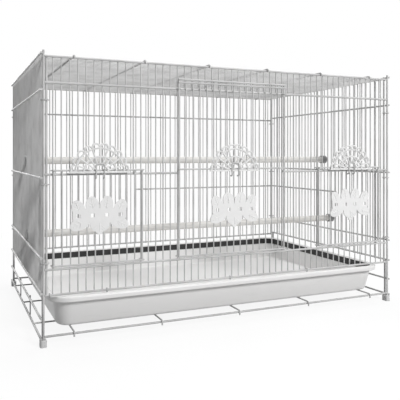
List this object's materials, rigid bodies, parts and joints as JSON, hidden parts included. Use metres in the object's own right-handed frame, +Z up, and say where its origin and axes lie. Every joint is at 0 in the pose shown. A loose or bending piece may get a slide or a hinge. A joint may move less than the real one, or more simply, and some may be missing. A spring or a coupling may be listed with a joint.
{
  "type": "bird cage",
  "caption": "White wire bird cage of hooked-together panels with three slide-up front doors, two perches and a pull-out tray.",
  "frame": {"origin": "centre of the base on the floor", "axes": "+X runs along the cage to the right, -Y faces the front with the doors, +Z is up"},
  "size_m": [0.6124, 0.4127, 0.406],
  "materials": {
    "white_wire": "smooth glossy white coating on steel wire",
    "ornament_plastic": "moulded white plastic",
    "tray_plastic": "glossy off-white moulded plastic",
    "perch_wood": "pale smooth dowel",
    "perch_cap_plastic": "moulded grey plastic",
    "foot_plastic": "moulded white plastic"
  },
  "bodies": {
    "cage": {"back_panel_bars": "white_wire", "back_panel_frame": "white_wire", "base_cross_wires": "white_wire", "base_end_rails": "white_wire", "base_runners": "white_wire", "corner_rings": "white_wire", "feet": "foot_plastic", "front_panel_bars": "white_wire", "front_panel_frame": "white_wire", "left_base_rails": "white_wire", "left_panel_bars": "white_wire", "left_panel_frame": "white_wire", "lower_perch": "perch_wood", "lower_perch_caps": "perch_cap_plastic", "middle_door_guides": "white_wire", "right_base_rails": "white_wire", "right_panel_bars": "white_wire", "right_panel_frame": "white_wire", "top_panel_bars": "white_wire", "top_panel_rails": "white_wire", "upper_perch": "perch_wood", "upper_perch_caps": "perch_cap_plastic"},
    "left_door": {"left_door_bars": "white_wire", "left_door_eyes": "white_wire", "left_door_frame": "white_wire", "left_door_leaf_plaque": "ornament_plastic", "left_door_pull": "white_wire", "left_door_sunburst": "ornament_plastic"},
    "middle_door": {"middle_door_bars": "white_wire", "middle_door_eyes": "white_wire", "middle_door_frame": "white_wire", "middle_door_leaf_plaque": "ornament_plastic", "middle_door_pull": "white_wire", "middle_door_sunburst": "ornament_plastic"},
    "right_door": {"right_door_bars": "white_wire", "right_door_eyes": "white_wire", "right_door_frame": "white_wire", "right_door_leaf_plaque": "ornament_plastic", "right_door_pull": "white_wire", "right_door_sunburst": "ornament_plastic"},
    "tray": {"tray": "tray_plastic"}
  },
  "joints": [
    {"name": "left_door_slide", "type": "slide", "parent": "cage", "child": "left_door", "axis": [0, 0, 1], "range_m": [0, 0.112]},
    {"name": "middle_door_slide", "type": "slide", "parent": "cage", "child": "middle_door", "axis": [0, 0, 1], "range_m": [0, 0.112]},
    {"name": "right_door_slide", "type": "slide", "parent": "cage", "child": "right_door", "axis": [0, 0, 1], "range_m": [0, 0.112]},
    {"name": "tray_slide", "type": "slide", "parent": "cage", "child": "tray", "axis": [0, -1, 0], "range_m": [0, 0.33]}
  ]
}
